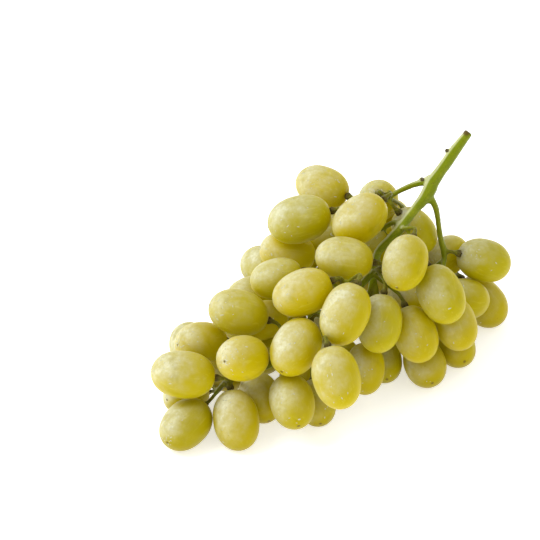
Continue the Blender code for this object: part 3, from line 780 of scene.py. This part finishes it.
def smooth_stalk():
    """The frame's stalk with round stems and filled forks: fattened, made even, and slimmed again."""
    shape = merged_copy("stem")
    mesh = bpy.data.meshes.new("stem_form")
    shape.to_mesh(mesh)
    shape.free()
    mesh = even_mesh(mesh)
    web = Web(mesh)
    place_points(mesh, web.smoothed(points_of(mesh), STALK_SMOOTHING))
    place_points(mesh, points_of(mesh) + FORK_FILLET * smooth_normals(mesh, web, FATTEN_SMOOTHING))
    mesh = even_mesh(mesh)
    web = Web(mesh)
    place_points(mesh, web.smoothed(points_of(mesh), STALK_SMOOTHING))
    slimming = (FORK_FILLET - STALK_SWELL) * smooth_normals(mesh, web, SLIM_SMOOTHING)
    place_points(mesh, web.smoothed(points_of(mesh) - slimming, STALK_SMOOTHING))
    return mesh, web


def fine_stalk(grapes):
    """The smooth stalk with ribs on its thick stems and slim warty ends, and what its bark reads."""
    mesh, web = smooth_stalk()
    places = points_of(mesh)
    ends = KDTree(len(grapes))
    for number, grape in enumerate(grapes):
        ends.insert(grape.stalk_end, number)
    ends.balance()
    nearest = [ends.find(place) for place in places]
    from_grape = np.array([distance for _, _, distance in nearest])
    axes = np.array([grapes[number].axis for _, number, _ in nearest])
    cut_end = places[np.argmax(places[:, 2])]
    from_cut = np.linalg.norm(places - cut_end, axis=1)

    girth = web.smoothed(girths(mesh)[:, None], GIRTH_SMOOTHING, keep_size=False)[:, 0]
    thick = smooth_step(*THICK_STEM, girth)
    cork = smooth_step(*CORK_REACH, from_grape)
    normals = normals_of(mesh)
    outward = normals - (normals * axes).sum(1)[:, None] * axes
    slimmed = places - CORK_SLIMMING * cork[:, None] * outward
    up = places[:, 1] * math.sin(VIEW_ELEVATION) + places[:, 2] * math.cos(VIEW_ELEVATION)
    for scar_x, scar_up in SCARS:
        from_scar = np.hypot(places[:, 0] - scar_x * MM, up - scar_up * MM)
        cork = np.maximum(cork, smooth_step(*SCAR_REACH, from_scar))
    # Painted highlight: where the thick stems face the lamp.
    lit = smooth_step(*HIGHLIGHT_FACING, normals @ np.array(Vector(HIGHLIGHT_SIDE).normalized()))
    relief = cork * bump(places, CORK_RELIEF)
    relief += (1.0 - cork) * bump(places, BARK_RELIEF)
    relief += thick * bump(places, RIB_RELIEF)
    place_points(mesh, slimmed + relief[:, None] * normals)

    note_on(mesh, "cork", cork)
    note_on(mesh, "olive", smooth_step(*OLIVE_REACH, from_grape))
    note_on(mesh, "girth", girth)
    note_on(mesh, "lit", lit * thick)
    note_on(mesh, "cut", smooth_step(*CUT_REACH, from_cut))
    mesh.shade_smooth()
    return mesh


def dress_stalk(grapes, finish):
    """The fine stalk in the place of the frame's."""
    piece = add_object("stalk", fine_stalk(grapes))
    piece.data.materials.clear()
    piece.data.materials.append(finish)
    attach(piece, "root")
    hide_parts("stem")


def set_key_lamp():
    """A soft square lamp that shines from the upper left, and isn't seen itself."""
    lamp = bpy.data.lights.new("key", "AREA")
    lamp.shape = "SQUARE"
    lamp.size = KEY_SIZE
    lamp.energy = KEY_POWER
    holder = add_object("key", lamp)
    way = Vector(KEY_SIDE).normalized()
    holder.location = way * KEY_DISTANCE
    holder.rotation_euler = way.to_track_quat("Z", "Y").to_euler()
    holder.visible_camera = False


def set_stage():
    """A plain pale floor under an even white sky."""
    shape = bmesh.new()
    bmesh.ops.create_grid(shape, x_segments=1, y_segments=1, size=FLOOR_SIDE / 2)
    bmesh.ops.translate(shape, verts=shape.verts[:], vec=(0.0, 0.0, -FLOOR_GAP))
    mesh = bpy.data.meshes.new("floor")
    shape.to_mesh(mesh)
    shape.free()
    floor = add_object("floor", mesh)
    floor.data.materials.append(pale_floor())

    world = bpy.data.worlds.new("studio")
    world.use_nodes = True
    sky = world.node_tree.nodes["Background"]
    sky.inputs["Color"].default_value = WHITE
    sky.inputs["Strength"].default_value = SKY_STRENGTH
    bpy.context.scene.world = world


def set_camera():
    """The photograph's view: from the front and above, through a long lens."""
    lens = bpy.data.cameras.new("camera")
    lens.sensor_width = SENSOR
    lens.lens = SENSOR * VIEW_DISTANCE / VIEW_WIDTH
    lens.clip_start, lens.clip_end = VIEW_CLIP
    camera = add_object("camera", lens)
    back = Vector((0.0, -math.cos(VIEW_ELEVATION), math.sin(VIEW_ELEVATION)))
    camera.location = VIEW_POINT + back * VIEW_DISTANCE
    camera.rotation_euler = back.to_track_quat("Z", "Y").to_euler()
    bpy.context.scene.camera = camera


grapes = [Grape(name) for name in sorted(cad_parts) if name.startswith("grape")]
skins = dress_grapes(grapes, grape_skin())
lay_dew(skins, dew_water_painted_glints())
dress_stalk(grapes, stalk_bark())
set_stage()
set_key_lamp()
set_camera()
bpy.context.scene.view_settings.view_transform = "Standard"
